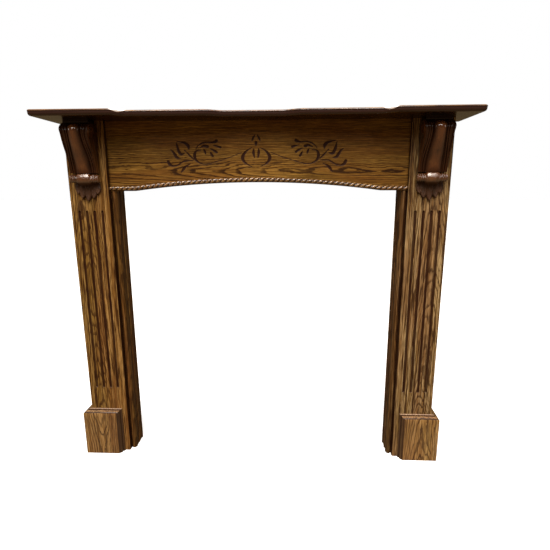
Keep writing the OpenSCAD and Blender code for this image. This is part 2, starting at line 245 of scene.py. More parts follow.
class Graph:
    """A material's node tree, with short calls for the nodes used here."""

    def __init__(self, name):
        self.material = bpy.data.materials.new(name)
        self.material.use_nodes = True
        self.nodes = self.material.node_tree.nodes
        self.links = self.material.node_tree.links
        self.shader = self.nodes["Principled BSDF"]

    def plug(self, socket, value):
        if isinstance(value, bpy.types.NodeSocket):
            self.links.new(value, socket)
        elif value is not None:
            socket.default_value = value

    def math(self, operation, a, b=None, c=None, clamp=False):
        node = self.nodes.new("ShaderNodeMath")
        node.operation = operation
        node.use_clamp = clamp
        for socket, value in zip(node.inputs, (a, b, c)):
            self.plug(socket, value)
        return node.outputs[0]

    def position(self):
        """Object coordinates split into X, Y and Z, in metres."""
        node = self.nodes.new("ShaderNodeTexCoord")
        split = self.nodes.new("ShaderNodeSeparateXYZ")
        self.links.new(node.outputs["Object"], split.inputs[0])
        return split.outputs[0], split.outputs[1], split.outputs[2]

    def vector(self, x, y, z):
        node = self.nodes.new("ShaderNodeCombineXYZ")
        for socket, value in zip(node.inputs, (x, y, z)):
            self.plug(socket, value)
        return node.outputs[0]

    def scaled(self, place, scales, shift=(0, 0, 0)):
        """Coordinates times scales plus shift."""
        rows = zip(place, scales, shift)
        return self.vector(*[self.math("MULTIPLY_ADD", p, scale, extra) for p, scale, extra in rows])

    def noise(self, place, detail, roughness=0.5, dimensions="3D"):
        node = self.nodes.new("ShaderNodeTexNoise")
        node.noise_dimensions = dimensions
        self.plug(node.inputs["W" if dimensions == "1D" else "Vector"], place)
        node.inputs["Scale"].default_value = 1
        node.inputs["Detail"].default_value = detail
        node.inputs["Roughness"].default_value = roughness
        return node.outputs[0]

    def ramp(self, value, stops):
        """stops are (place, colour or grey)."""
        node = self.nodes.new("ShaderNodeValToRGB")
        node.color_ramp.interpolation = "EASE"
        marks = node.color_ramp.elements
        while len(marks) < len(stops):
            marks.new(0.5)
        for mark, (place, colour) in zip(marks, stops):
            mark.position = place
            mark.color = (colour,) * 3 + (1,) if isinstance(colour, float) else (*colour, 1)
        self.plug(node.inputs[0], value)
        return node.outputs[0]

    def mix(self, factor, a, b, blend="MIX"):
        node = self.nodes.new("ShaderNodeMix")
        node.data_type = "RGBA"
        node.blend_type = blend
        for name, value in (("Factor_Float", factor), ("A_Color", a), ("B_Color", b)):
            socket = next(s for s in node.inputs if s.identifier == name)
            if isinstance(value, tuple):
                value = (*value, 1)
            self.plug(socket, value)
        return next(s for s in node.outputs if s.identifier == "Result_Color")

    def attribute(self, name):
        node = self.nodes.new("ShaderNodeAttribute")
        node.attribute_name = name
        return node.outputs["Fac"]

    def bump(self, height, distance, strength=1.0, normal=None):
        node = self.nodes.new("ShaderNodeBump")
        node.inputs["Strength"].default_value = strength
        node.inputs["Distance"].default_value = distance
        self.plug(node.inputs["Height"], height)
        self.plug(node.inputs["Normal"], normal)
        return node.outputs[0]


# ------------------------ timber

OAK_DARK = (0.036, 0.012, 0.002)
OAK_MID = (0.185, 0.078, 0.012)
OAK_LIGHT = (0.400, 0.210, 0.050)
OAK_RED = (0.200, 0.074, 0.015)
OAK_OLIVE = (0.170, 0.098, 0.014)
OAK_PORE = (0.022, 0.007, 0.002)
# Darkest tone: staining in the carving and flutes, and painted shade in grooves, quirks and creases
OAK_STAIN_AND_SHADE = (0.018, 0.004, 0.0015)
# Pale colour of painted highlights on the shelf nosing and the plinth mouldings
OAK_PAINTED_HIGHLIGHT = (0.80, 0.74, 0.71)


def growth_rings(g, u, v, w, log, stretched):
    """How dark the porous band of a yearly ring is at each point of a board."""
    pith_across, pith_depth, slope, ring, oval = log

    # Slow wander of the log, so that the figure is never straight
    drift = g.math("MULTIPLY", g.math("SUBTRACT", stretched(2.2, 5, 2), 0.5), 11 * ring * MM)
    wobble = g.math("MULTIPLY", g.math("SUBTRACT", stretched(12, 50, 3, 0.6), 0.5), 1.9 * ring * MM)
    drift = g.math("ADD", drift, wobble)
    side = g.math("MULTIPLY_ADD", drift, 0.6, g.math("SUBTRACT", v, pith_across))
    side = g.math("MULTIPLY", side, oval)
    back = g.math("ADD", g.math("MULTIPLY_ADD", u, slope, pith_depth), drift)
    radius = g.math("SQRT", g.math("ADD", g.math("POWER", side, 2), g.math("POWER", back, 2)))
    rings = g.math("DIVIDE", g.math("MULTIPLY_ADD", w, 0.35, radius), ring * MM)

    # Each ring: an abrupt dark porous band that fades into pale wood, some years stronger
    phase = g.math("FRACT", rings)
    band = g.ramp(phase, [(0.0, 0.75), (0.06, 1.0), (0.22, 0.85), (0.38, 0.08), (0.94, 0.0), (1.0, 0.75)])
    year = g.noise(g.math("MULTIPLY", rings, 0.9), 2, 0.6, "1D")
    flat = g.math("ABSOLUTE", g.math("DIVIDE", side, radius))
    weight = g.math("MULTIPLY", g.ramp(year, [(0.34, 0.50), (0.58, 1.0)]),
                    g.ramp(flat, [(0.55, 1.0), (0.90, 0.45)]))
    return g.math("MULTIPLY", band, weight)


def oak_colour(g, stretched, streak, lines, fine, band, dashes, bold):
    """Pale timber, broad red and olive drifts, then streaks, ring bands and pores on top."""
    base = g.mix(streak, OAK_MID, OAK_LIGHT)
    base = g.mix(g.ramp(stretched(2.0, 14, 3), [(0.42, 0.0), (0.62, 0.65)]), base, OAK_RED)
    base = g.mix(g.ramp(stretched(1.4, 9, 2, 0.5, 40), [(0.50, 0.0), (0.68, 0.45)]), base, OAK_OLIVE)
    base = g.mix(g.ramp(fine, [(0.40, 0.45), (0.60, 0.0)]), base, OAK_DARK)
    base = g.mix(lines, base, OAK_DARK)
    base = g.mix(band, base, OAK_DARK)
    if bold:
        base = g.mix(g.math("MULTIPLY", band, bold), base, OAK_PORE)
    return g.mix(g.math("MULTIPLY", dashes, 0.80), base, OAK_PORE)


def oak(name, along, across, pith_across, pith_depth, slope, seed, ring=3.6, grain=170,
        figure=1.0, tint=None, stain_and_painted_light=False, recess=None, gloss=0.33, coat=0.0, specular=0.15,
        oval=1.0, bold=0.0):
    """Flat-sawn stained oak under satin lacquer.

    The board is cut from a log whose rings are centred on a line beside it: pith_across is
    where that line passes across the board, pith_depth how far behind the face it lies, and
    slope how fast it tilts away along the board, which draws the cathedral figure.
    ring is the yearly growth in millimetres, grain the streaks per metre across the board and
    figure their strength. oval flattens the rings, which draws the arches out into long
    points, and bold darkens them. A point attribute above nought darkens the wood, as staining
    and as painted shade, and one below nought paints a pale highlight. recess darkens what lies
    deeper than a place on an axis, with staining and painted shade.
    """
    g = Graph(name)
    axes = dict(zip("xyz", g.position()))
    depth = next(a for a in "xyz" if a not in (along, across))
    u, v, w = axes[along], axes[across], axes[depth]
    shifted = g.math("ADD", u, seed * 1.37)

    def stretched(along_scale, across_scale, detail, roughness=0.5, deep_scale=None):
        deep = g.math("MULTIPLY_ADD", w, deep_scale or across_scale, seed)
        return g.noise(g.vector(g.math("MULTIPLY", shifted, along_scale),
                                g.math("MULTIPLY", v, across_scale), deep), detail, roughness)

    # Streaks and pores along the grain: pores are short dark dashes, thickest in the bands
    streak = g.ramp(stretched(3.6, grain, 3, 0.75),
                    [(0.45, 0.5 - 0.5 * figure), (0.56, 0.5 + 0.5 * figure)])
    lines = g.ramp(stretched(6, grain * 1.4, 2, 0.6), [(0.54, 0.0), (0.59, 1.0)])
    lines = g.math("MULTIPLY", lines, 0.75 * figure)
    fine = stretched(22, 420, 2, 0.6)
    pores = g.ramp(stretched(30, 760, 1), [(0.47, 0.0), (0.60, 1.0)])
    band = growth_rings(g, u, v, w, (pith_across, pith_depth, slope, ring, oval), stretched)
    band = g.math("MULTIPLY", band, g.math("MULTIPLY_ADD", streak, -0.25, 1.0))
    dashes = g.math("MULTIPLY", pores, g.math("MULTIPLY_ADD", band, 0.65, 0.35))

    base = oak_colour(g, stretched, streak, lines, fine, band, dashes, bold)
    if tint is not None:
        base = g.mix(1.0, base, tint, "MULTIPLY")
    rough = g.math("MULTIPLY_ADD", dashes, 0.20, g.math("MULTIPLY_ADD", fine, 0.12, gloss - 0.06))
    if recess is not None:
        axis, start, fade = recess
        deep = g.math("DIVIDE", g.math("SUBTRACT", axes[axis], start), fade, clamp=True)
        # Deeper than the given place: darkened with staining and painted shade
        base = g.mix(g.math("MULTIPLY", deep, 0.90), base, OAK_STAIN_AND_SHADE)
    if stain_and_painted_light:
        mask = g.attribute("stain_and_painted_light")
        # Above nought: darkened, as staining and as painted shade
        base = g.mix(g.math("ADD", mask, 0.0, clamp=True), base, OAK_STAIN_AND_SHADE)
        # Below nought: painted highlights
        base = g.mix(g.math("MULTIPLY", mask, -1.0, clamp=True), base, OAK_PAINTED_HIGHLIGHT)
        rough = g.math("MULTIPLY_ADD", mask, 0.22, rough)
    height = g.math("SUBTRACT", g.math("MULTIPLY", fine, 0.5),
                    g.math("MULTIPLY_ADD", band, 0.35, dashes))
    g.plug(g.shader.inputs["Base Color"], base)
    g.plug(g.shader.inputs["Roughness"], rough)
    g.plug(g.shader.inputs["Normal"], g.bump(height, 0.12 * MM, 0.7))
    g.shader.inputs["Specular IOR Level"].default_value = specular
    g.shader.inputs["Coat Weight"].default_value = coat
    g.shader.inputs["Coat Roughness"].default_value = 0.13
    g.shader.inputs["Coat IOR"].default_value = 1.6
    return g.material


def mahogany(name, seed, hang=None):
    """Dark red-brown carved wood under thick, glossy lacquer.

    A point attribute of painted shade darkens the wood and takes the gloss off. Where a height hang is
    given, the whole surface is rippled, and below that height it is dull and darkened with painted shade.
    """
    g = Graph(name)
    place = g.position()
    ribbon = g.noise(g.scaled(place, (60, 60, 9), (0, 0, seed)), 4, 0.6)
    pores = g.noise(g.scaled(place, (1100, 1100, 60)), 1)
    base = g.ramp(ribbon, [(0.25, (0.032, 0.008, 0.002)), (0.55, (0.078, 0.022, 0.005)),
                           (0.80, (0.130, 0.044, 0.010))])
    base = g.mix(g.ramp(pores, [(0.58, 0.0), (0.70, 0.6)]), base, (0.012, 0.003, 0.002))
    painted_shade = g.attribute("painted_shade")
    # Painted shade: near-black where the point attribute is high
    base = g.mix(painted_shade, base, (0.008, 0.002, 0.001))
    coat = g.math("MULTIPLY_ADD", painted_shade, -0.85, 1.0, clamp=True)
    surface = g.bump(ribbon, 0.15 * MM, 0.5)
    rough = g.math("MULTIPLY_ADD", ribbon, 0.10, 0.34)
    if hang is not None:
        below = g.math("DIVIDE", g.math("SUBTRACT", hang, place[2]), 6 * MM, clamp=True)
        coat = g.math("MULTIPLY_ADD", below, -0.93, 1.0)
        ripple = g.noise(g.scaled(place, (300, 300, 300)), 2, 0.6)
        surface = g.bump(ripple, 1.4 * MM, 0.8, surface)
        # Lighter than the corbel's mahogany, which paints the light that the roll catches
        base = g.mix(1.0, base, (1.10, 1.15, 1.15), "MULTIPLY")
        # Painted shade under the roll: darker below the hang height
        base = g.mix(g.math("MULTIPLY", below, 0.62), base, (0.012, 0.003, 0.001))
        rough = g.math("MULTIPLY_ADD", below, 0.35, rough)
    g.plug(g.shader.inputs["Base Color"], base)
    g.plug(g.shader.inputs["Coat Weight"], coat)
    g.plug(g.shader.inputs["Roughness"], rough)
    g.plug(g.shader.inputs["Normal"], surface)
    g.plug(g.shader.inputs["Coat Normal"], surface)
    g.shader.inputs["Specular IOR Level"].default_value = 0.12 if hang is None else 0.42
    g.shader.inputs["Specular Tint"].default_value = (1.0, 0.80, 0.58, 1)
    g.shader.inputs["Coat Roughness"].default_value = 0.11 if hang is None else 0.16
    g.shader.inputs["Coat IOR"].default_value = 1.6 if hang is None else 1.8
    return g.material


def softwood(name, along, seed):
    """Unfinished pale timber of the hidden rails and blocks."""
    g = Graph(name)
    place, shift = g.position(), (seed, seed, seed)
    scales = [5 if axis == along else 120 for axis in "xyz"]
    grain = g.noise(g.scaled(place, scales, shift), 4, 0.6)
    broad = g.noise(g.scaled(place, [scale / 6 for scale in scales], shift), 2)
    base = g.ramp(grain, [(0.3, (0.42, 0.27, 0.13)), (0.62, (0.62, 0.45, 0.26)),
                          (0.8, (0.70, 0.54, 0.34))])
    base = g.mix(g.ramp(broad, [(0.45, 0.0), (0.60, 0.5)]), base, (0.47, 0.30, 0.15))
    g.plug(g.shader.inputs["Base Color"], base)
    g.plug(g.shader.inputs["Roughness"], g.math("MULTIPLY_ADD", grain, 0.2, 0.6))
    g.plug(g.shader.inputs["Normal"], g.bump(grain, 0.2 * MM, 0.6))
    return g.material


def zinc(name):
    """Zinc-plated steel with a faint crystalline mottle."""
    g = Graph(name)
    spangle = g.noise(g.scaled(g.position(), (260, 260, 260)), 2)
    base = g.ramp(spangle, [(0.35, (0.46, 0.47, 0.48)), (0.65, (0.66, 0.67, 0.68))])
    g.plug(g.shader.inputs["Base Color"], base)
    g.plug(g.shader.inputs["Roughness"], g.math("MULTIPLY_ADD", spangle, 0.2, 0.25))
    g.shader.inputs["Metallic"].default_value = 1.0
    return g.material


# ------------------------ mesh helpers

def smooth_step(t):
    """From 0 at nought to 1 at one, level at both ends."""
    t = np.clip(t, 0, 1)
    return t * t * (3 - 2 * t)


def tidy_normals(mesh, merge):
    bm = bmesh.new()
    bm.from_mesh(mesh)
    if merge:
        bmesh.ops.remove_doubles(bm, verts=bm.verts, dist=merge)
    bmesh.ops.recalc_face_normals(bm, faces=bm.faces)
    bm.to_mesh(mesh)
    bm.free()


def add_piece(name, node, vertices, faces, material, attributes, angle=None, merge=0.0):
    """A smooth-shaded solid that stands for a CAD node.

    attributes are numbers per point, by name. Edges sharper than angle stay hard, and points
    closer than merge become one.
    """
    mesh = bpy.data.meshes.new(name)
    mesh.from_pydata([tuple(v) for v in vertices], [], faces)
    mesh.update()
    piece = bpy.data.objects.new(name, mesh)
    bpy.context.scene.collection.objects.link(piece)
    for key, values in attributes.items():
        layer = mesh.attributes.new(key, "FLOAT", "POINT")
        layer.data.foreach_set("value", np.asarray(values, np.float32))
    mesh.materials.append(material)
    for polygon in mesh.polygons:
        polygon.use_smooth = True
    if angle is not None:
        mesh.set_sharp_from_angle(angle=math.radians(angle))
    tidy_normals(mesh, merge)
    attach(piece, "root")
    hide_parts(node)
    return piece


def grid_faces(columns, rows, start=0, flip=False):
    """Quads of a grid stored column by column."""
    faces = []
    for i in range(columns - 1):
        a, b = start + i * rows, start + (i + 1) * rows
        for j in range(rows - 1):
            quad = (a + j, b + j, b + j + 1, a + j + 1)
            faces.append(quad[::-1] if flip else quad)
    return faces


def tube_faces(stations, around):
    """Quads of a closed tube stored loop by loop, with its two end caps."""
    faces = []
    for i in range(stations - 1):
        for j in range(around):
            k = (j + 1) % around
            faces.append((i * around + j, (i + 1) * around + j, (i + 1) * around + k, i * around + k))
    faces.append(list(range(around)))
    faces.append([(stations - 1) * around + j for j in range(around)][::-1])
    return faces


def grid_rim(columns, rows):
    """Indices round the edge of such a grid."""
    return ([i * rows for i in range(columns)] + [(columns - 1) * rows + j for j in range(1, rows)]
            + [i * rows + rows - 1 for i in range(columns - 2, -1, -1)] + list(range(rows - 2, 0, -1)))


def close_slab(front, columns, rows, faces, to_back):
    """Makes a solid of a grid surface: to_back moves the points of its rim to the flat back."""
    rim = grid_rim(columns, rows)
    back = to_back(front[rim].copy())
    first, count = len(front), len(rim)
    sides = [(rim[(k + 1) % count], rim[k], first + k, first + (k + 1) % count) for k in range(count)]
    cap = [first + k for k in range(count)][::-1]
    return np.vstack([front, back]), faces + sides + [cap]


# ------------------------ shelf

def shelf_depth(x):
    """How far the shelf reaches out from the wall, at x from the middle."""
    deep = WALL_Y - SHELF_LOW.y
    return (deep - SHELF_STEP * smooth_step((EAR_X - x) / EAR_RUN)
            - SHELF_HOLLOW * smooth_step((HOLLOW_X - x) / HOLLOW_RUN))


def shelf_stations():
    """Points round the right half of the shelf edge, and the way inwards at each."""
    half = SHELF_HIGH.x
    stations = [((half, WALL_Y), (-1, 0)), ((half, WALL_Y - 0.1), (-1, 0))]
    centre = (half - SHELF_CORNER_R, SHELF_LOW.y + SHELF_CORNER_R)
    for a in np.linspace(0, math.pi / 2, 12):
        out = (math.cos(a), -math.sin(a))
        stations.append(((centre[0] + SHELF_CORNER_R * out[0], centre[1] + SHELF_CORNER_R * out[1]),
                         (-out[0], -out[1])))
    places = np.concatenate([
        np.linspace(half - 40 * MM, EAR_X + 10 * MM, 6), np.linspace(EAR_X, EAR_X - EAR_RUN, 20),
        np.linspace(380 * MM, HOLLOW_X + 20 * MM, 6), np.linspace(HOLLOW_X, HOLLOW_X - HOLLOW_RUN, 20),
        [50 * MM, 0.0]])
    for x in places:
        stations.append(((x, WALL_Y - shelf_depth(x)), (0, 1)))
    return stations


def nosing_profile():
    """(inset, height above the underside, darkening), from the top edge round to the underside.

    A darkening below nought paints a highlight.
    """
    thick = SHELF_HIGH.z - SHELF_LOW.z
    profile = [(NOSING_TOP_R + 3 * MM, thick, 0.0)]
    # The top rounding begins with a painted highlight line and darkens down to the face
    for a in np.linspace(0, math.pi / 2, 8):
        profile.append((NOSING_TOP_R * (1 - math.sin(a)), thick - NOSING_TOP_R * (1 - math.cos(a)),
                        0.86 * a - 0.35))
    profile += [(0.5 * MM, 13.2 * MM, 1.0), (NOSING_STEP, 12.6 * MM, 1.0), (NOSING_STEP, 11 * MM, 1.0)]
    for a in np.linspace(0, math.pi / 2, 9):
        profile.append((NOSING_STEP + NOSING_BOTTOM_R * (1 - math.cos(a)),
                        NOSING_BOTTOM_RISE * (1 - math.sin(a)), 0.98 - 0.12 * a ** 4))
    return profile


def nosing_darkening_and_glint(stations, profile):
    """Darkening along the nosing, with a painted glint on the upper edge where the front swings in."""
    thick = SHELF_HIGH.z - SHELF_LOW.z
    stain_and_painted_light = []
    for p, _ in stations:
        share_of_run = min(max((EAR_X + 2 * MM - abs(p[0])) / EAR_RUN, 0), 1)
        swing = math.sin(math.pi * share_of_run)
        for inset, rise, share in profile:
            painted_glint = 0.0
            # Painted glint on the upper edge where the front swings in
            if inset <= NOSING_TOP_R and swing > 0.05:
                painted_glint = smooth_step((rise / thick - 1 + 0.50 * swing) / 0.12)
            stain_and_painted_light.append(share * (1 - painted_glint) - painted_glint)
    return stain_and_painted_light


def make_shelf():
    """The edge section is swept round the outline; flat faces close the top, underside and back."""
    right = shelf_stations()
    left = [((-p[0], p[1]), (-n[0], n[1])) for p, n in right[-2::-1]]
    stations = right + left
    profile = nosing_profile()
    vertices = [(p[0] + n[0] * inset, p[1] + n[1] * inset, SHELF_LOW.z + rise)
                for p, n in stations for inset, rise, _ in profile]
    rows = len(profile)
    faces = grid_faces(len(stations), rows)
    last = (len(stations) - 1) * rows
    faces.append([i * rows for i in range(len(stations))])
    faces.append([i * rows + rows - 1 for i in range(len(stations))][::-1])
    faces.append(list(range(rows)) + [last + j for j in range(rows)][::-1])
    wood = oak("oak_shelf", "x", "y", WALL_Y - 0.13, 0.05, 0.05, 3.1, stain_and_painted_light=True, gloss=0.28, coat=0.4)
    add_piece("shelf_with_nosing", "mantel_shelf", vertices, faces, wood,
              {"stain_and_painted_light": nosing_darkening_and_glint(stations, profile)}, angle=50)


# ------------------------ frieze and its carving

def arch_height(x):
    """Height of the frieze's lower edge: a shallow arc between two level ends."""
    radius = (ARCH_HALF ** 2 + ARCH_RISE ** 2) / (2 * ARCH_RISE)
    inside = np.minimum(np.abs(x), ARCH_HALF)
    return FRIEZE_LOW.z + ARCH_RISE - radius + np.sqrt(radius ** 2 - inside ** 2)


# The strokes are cut this much wider than they are drawn, to at most this depth (mm)
STROKE_SPREAD = 1.22
CUT_DEPTH = 1.2

# The frieze's mesh is dense within this distance of the middle, where it is carved
CARVED_HALF = 310 * MM

# Incised strokes of the right half, in millimetres: (x, height above the floor, half width).
# The left half mirrors them.
STROKES = [
    # lyre in the middle, with its bud and the petals over it
    [(15, 1146, 1.0), (32, 1136, 2.6), (43, 1123, 4.4), (46, 1112, 4.8), (41, 1101, 3.4), (30, 1092, 2.0),
     (15, 1085, 1.0)],
    [(8, 1143, 1.2), (9, 1134, 3.6), (8, 1125, 3.4), (6, 1113, 1.2)],
    [(4, 1187, 1.2), (9, 1179, 2.8), (13, 1170, 2.2)],
    [(2, 1164, 3.0), (1, 1158, 2.6), (0, 1152, 1.1)],
    # tendril that runs out to the spiral
    [(50, 1131, 1.1), (88, 1116, 1.2), (124, 1105, 1.3), (158, 1096, 1.5), (182, 1094, 1.7),
     (199, 1101, 2.4), (208, 1111, 3.8), (210, 1123, 4.4), (207, 1133, 3.0), (200, 1138, 1.8),
     (189, 1139, 1.1)],
    # upper arm of the spiral, ending in a bud
    [(205, 1143, 1.1), (199, 1152, 1.5), (188, 1160, 1.9), (176, 1164, 2.1), (163, 1165, 2.1),
     (149, 1164, 2.6), (140, 1166, 3.8), (134, 1169, 4.4)],
    # leaflets inside the spiral
    [(190, 1148, 1.1), (177, 1153, 3.4), (165, 1151, 4.2)],
    [(178, 1142, 1.4), (174, 1134, 3.4), (172, 1127, 1.6)],
    [(156, 1144, 1.1), (145, 1139, 3.0), (134, 1132, 3.4)],
    [(157, 1133, 1.2), (152, 1126, 3.4), (148, 1119, 3.0)],
    [(145, 1155, 1.1), (133, 1152, 2.6), (121, 1148, 3.4)],
    # flower
    [(269, 1168, 1.1), (254, 1166, 2.2), (240, 1162, 3.8), (231, 1154, 4.6), (229, 1142, 1.2)],
    [(271, 1165, 1.1), (268, 1150, 3.2), (264, 1137, 4.2), (257, 1127, 4.0), (244, 1129, 1.1)],
    [(293, 1142, 1.1), (284, 1135, 2.8), (277, 1124, 4.2), (270, 1115, 3.6), (258, 1113, 1.1)],
    [(239, 1135, 1.2), (228, 1123, 2.6), (215, 1110, 1.6)],
    [(244, 1139, 1.8), (241, 1137, 1.8)],
    # leaves at the foot of the flower
    [(302, 1102, 4.4), (297, 1093, 4.4), (286, 1088, 2.6), (271, 1090, 2.2), (257, 1098, 2.2),
     (243, 1105, 1.8), (217, 1105, 1.1)],
    [(259, 1066, 1.1), (250, 1078, 4.0), (241, 1087, 2.8), (226, 1094, 1.1)],
]


def curve_through(points, step=1.2):
    """Catmull-Rom points through a stroke, about a step apart."""
    p = np.array([points[0], *points, points[-1]], float)
    out = []
    for a, b, c, d in zip(p[:-3], p[1:-2], p[2:-1], p[3:]):
        count = max(2, int(np.linalg.norm(c[:2] - b[:2]) / step))
        for t in np.linspace(0, 1, count, endpoint=False):
            out.append(0.5 * (2 * b + (c - a) * t + (2 * a - 5 * b + 4 * c - d) * t ** 2
                              + (3 * b - a - 3 * c + d) * t ** 3))
    out.append(p[-1])
    return np.array(out)


def carve(x, z):
    """Depth of the carving and how darkly it is stained, at points of the frieze face (mm)."""
    depth, stain_and_painted_light = np.zeros(len(x)), np.zeros(len(x))
    for stroke in STROKES:
        line = curve_through(stroke)
        line[:, 2] *= STROKE_SPREAD
        for mirror in (1, -1):
            low = (line[:, 0] * mirror).min() - 6, line[:, 1].min() - 6
            high = (line[:, 0] * mirror).max() + 6, line[:, 1].max() + 6
            near = np.flatnonzero((x > low[0]) & (x < high[0]) & (z > low[1]) & (z < high[1]))
            gap = np.hypot(x[near, None] - line[None, :, 0] * mirror, z[near, None] - line[None, :, 1])
            inside = line[None, :, 2] - gap
            reach = inside.max(1)
            wide = line[inside.argmax(1), 2]
            cut = np.clip(reach / wide, 0, 1)
            deepest = np.minimum(CUT_DEPTH, wide * 0.35)
            depth[near] = np.maximum(depth[near], deepest * (1 - (1 - cut) ** 2))
            stain_and_painted_light[near] = np.maximum(stain_and_painted_light[near], 0.96 * smooth_step((reach + 0.5) / 1.2))
    return depth, stain_and_painted_light


def make_frieze():
    half = FRIEZE_HIGH.x
    xs = np.concatenate([np.linspace(-half, -CARVED_HALF, 40, endpoint=False),
                         np.linspace(-CARVED_HALF, CARVED_HALF, 600),
                         np.linspace(CARVED_HALF, half, 41)[1:]])
    top = FRIEZE_HIGH.z
    share = np.concatenate([np.linspace(0, 0.14, 8, endpoint=False), np.linspace(0.14, 0.82, 150),
                            np.linspace(0.82, 1, 8)[1:]])
    low = arch_height(xs)
    gx = np.repeat(xs, len(share))
    gz = (low[:, None] + (top - low)[:, None] * share[None, :]).ravel()
    depth, stain_and_painted_light = carve(gx / MM, gz / MM)
    front = np.column_stack([gx, FRIEZE_LOW.y + depth * MM, gz])

    def to_back(points):
        points[:, 1] = FRIEZE_HIGH.y
        return points

    columns, rows = len(xs), len(share)
    vertices, faces = close_slab(front, columns, rows, grid_faces(columns, rows), to_back)
    spare = np.zeros(len(vertices) - len(front))
    wood = oak("oak_frieze", "x", "z", 1.070, 0.046, -0.05, 7.7, ring=5.4, grain=330, oval=1.2, bold=0.9,
               figure=0.5, tint=(0.96, 0.97, 0.84), stain_and_painted_light=True, specular=0.10)
    add_piece("frieze_carved", "frieze_board", vertices, faces, wood,
              {"stain_and_painted_light": np.concatenate([stain_and_painted_light, spare])}, angle=40)


def make_rope():
    """Twisted strands along the arch, darkened in the grooves between them by staining and painted shade.
    """
    half = FRIEZE_HIGH.x
    xs = np.arange(-half, half + 0.0005, 1.2 * MM)
    xs[-1] = half
    zs = arch_height(xs) + ROPE_R + ROPE_LIFT
    run = np.concatenate([[0], np.cumsum(np.hypot(np.diff(xs), np.diff(zs)))])
    tilt = np.arctan2(np.gradient(zs), np.gradient(xs))
    around = np.linspace(0, 2 * math.pi, 36, endpoint=False)
    centre_y = FRIEZE_LOW.y
    vertices, shade = [], []
    for x, z, s, t in zip(xs, zs, run, tilt):
        for a in around:
            turn = (a + 2 * math.pi * s / ROPE_LEAD) * ROPE_STRANDS / 2
            swell = abs(math.sin(turn))
            r = ROPE_R * (0.44 + 0.56 * swell ** 0.7)
            up = r * math.cos(a)
            vertices.append((x - up * math.sin(t), centre_y - r * math.sin(a), z + up * math.cos(t)))
            # Painted shade, with staining, in the grooves between the strands
            shade.append(0.95 * (1 - smooth_step((swell - 0.42) / 0.34)))
    faces = tube_faces(len(xs), len(around))
    # The tint makes the strands pale and pink: partly the rope's own colour, partly a painted sheen
    wood = oak("oak_rope", "x", "z", 0.95, 0.05, 0.05, 11.3, tint=(1.45, 1.65, 2.7), stain_and_painted_light=True,
               gloss=0.24, coat=1.0)
    add_piece("rope_twist", "rope_moulding", vertices, faces, wood, {"stain_and_painted_light": shade})


# ------------------------ corbels

CORBEL_HALF = 44 * MM
CORBEL_LOW_Z = 1063 * MM
ROLL_Z = 1045 * MM
ROLL_OUT = 19 * MM
LEAF_VOXEL = 0.7 * MM

# Heights and stand-outs of the corbel's carving, in millimetres
CORBEL_TOP = 1222
CORBEL_FOOT = 1064
CORBEL_SHOULDER = 1202
FOOT_OUT = 22
SHOULDER_OUT = 64
SLAB_OUT = 48


def corbel_stand_out(z):
    """Front of the corbel above the pilaster face, in metres: an S, and a slab over it."""
    z = z / MM
    rise = smooth_step((z - CORBEL_FOOT) / (CORBEL_SHOULDER - CORBEL_FOOT))
    body = FOOT_OUT + (SHOULDER_OUT - FOOT_OUT) * rise
    over = np.clip((z - CORBEL_TOP + 28) / 30, 0, 1)
    body -= 24 * (1 - np.sqrt(1 - over ** 2))
    slab = smooth_step((z - CORBEL_TOP) / 2)
    return (body * (1 - slab) + SLAB_OUT * slab) * MM


def corbel_width(z):
    """Half width: ears at the top of the scroll, a narrower slab over it."""
    z = z / MM
    ears = 2.6 * np.exp(-((z - 1204) / 12) ** 2)
    return CORBEL_HALF + (ears - 3.5 * smooth_step((z - CORBEL_TOP) / 2)) * MM


def ridge_line(x, centre, half):
    """Round section of a ridge, from 0 at its edges to 1 on its crest."""
    return np.sqrt(np.clip(1 - ((x - centre) / half) ** 2, 0, 1))


def corbel_relief(x, z):
    """Carving on the front: centre rib, grooves and side ridges, in metres, and its painted shade."""
    x, z = np.abs(x) / MM, z / MM
    rise = smooth_step((z - 1075) / 120)
    rib_half = 27 - 7 * rise
    over = np.clip((z - CORBEL_TOP + 22) / 20, 0, None)
    rib = np.clip(1 - (x / rib_half) ** 2 - over ** 2, 0, 1) ** 0.6 * (14 + 4 * rise)
    sway = 1.2 * np.sin((z - CORBEL_FOOT) / 22)
    first = rib_half + 5.0 + sway * 0.5
    ridges = (4.6 * ridge_line(x, first, 3.0) + 6.0 * ridge_line(x, first + 6.6 + 0.6 * sway, 3.2)
              + 6.0 * ridge_line(x, 43.5, 4.0 - 1.2 * (1 - rise)))
    under_slab = 1 - smooth_step((z - CORBEL_TOP + 4) / 4)
    rounded = np.sqrt(np.clip(1 - np.clip((z - CORBEL_TOP + 29) / 25, 0, 1) ** 2, 0, 1))
    relief = rib * under_slab + ridges * rounded * under_slab
    # Painted shade: in the grooves, on the rib's flanks, over the side ridges, near the foot and on the
    # slab under the shelf
    deep = np.exp(-((x - rib_half - 0.8) / 1.8) ** 2) + np.exp(-((x - first - 3.6) / 1.4) ** 2)
    flank = 0.80 * smooth_step((x / rib_half - 0.25) / 0.70)
    flank = np.maximum(flank, 0.6 * (1 - smooth_step((z - CORBEL_FOOT - 2) / 22)))
    painted_shade = np.maximum(np.clip(deep, 0, 1) * 0.85, 0.9 * (1 - under_slab))
    painted_shade = np.maximum(painted_shade, np.where(x < rib_half, flank, 0.68))
    return relief * MM, painted_shade


